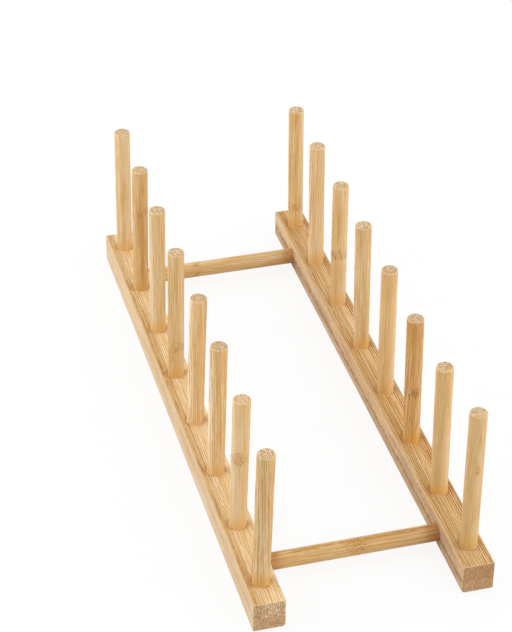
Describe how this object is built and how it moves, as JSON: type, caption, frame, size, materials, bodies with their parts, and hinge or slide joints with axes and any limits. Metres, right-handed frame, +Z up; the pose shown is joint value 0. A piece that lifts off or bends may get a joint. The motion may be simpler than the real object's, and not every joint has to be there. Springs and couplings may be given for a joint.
{
  "type": "pot lid rack",
  "caption": "Low bamboo countertop rack: two parallel rails with a row of upright dowels on each, so that pot lids or plates stand on edge in the slots between them.",
  "frame": {"origin": "centre of the rack's footprint, on the surface that it stands on", "axes": "+X across the rack to the right rail, +Y along the rails from the front end to the rear end, +Z up"},
  "size_m": [0.123, 0.34, 0.096],
  "materials": {
    "rail_bamboo": "smooth sanded laminated bamboo with a thin matt oil",
    "dowel_bamboo": "smooth sanded bamboo dowel with a thin matt oil"
  },
  "bodies": {
    "root": {"left_rail": "rail_bamboo", "right_rail": "rail_bamboo", "left_post_1": "dowel_bamboo", "left_post_2": "dowel_bamboo", "left_post_3": "dowel_bamboo", "left_post_4": "dowel_bamboo", "left_post_5": "dowel_bamboo", "left_post_6": "dowel_bamboo", "left_post_7": "dowel_bamboo", "left_post_8": "dowel_bamboo", "right_post_1": "dowel_bamboo", "right_post_2": "dowel_bamboo", "right_post_3": "dowel_bamboo", "right_post_4": "dowel_bamboo", "right_post_5": "dowel_bamboo", "right_post_6": "dowel_bamboo", "right_post_7": "dowel_bamboo", "right_post_8": "dowel_bamboo", "front_cross_dowel": "dowel_bamboo", "rear_cross_dowel": "dowel_bamboo"}
  },
  "joints": []
}
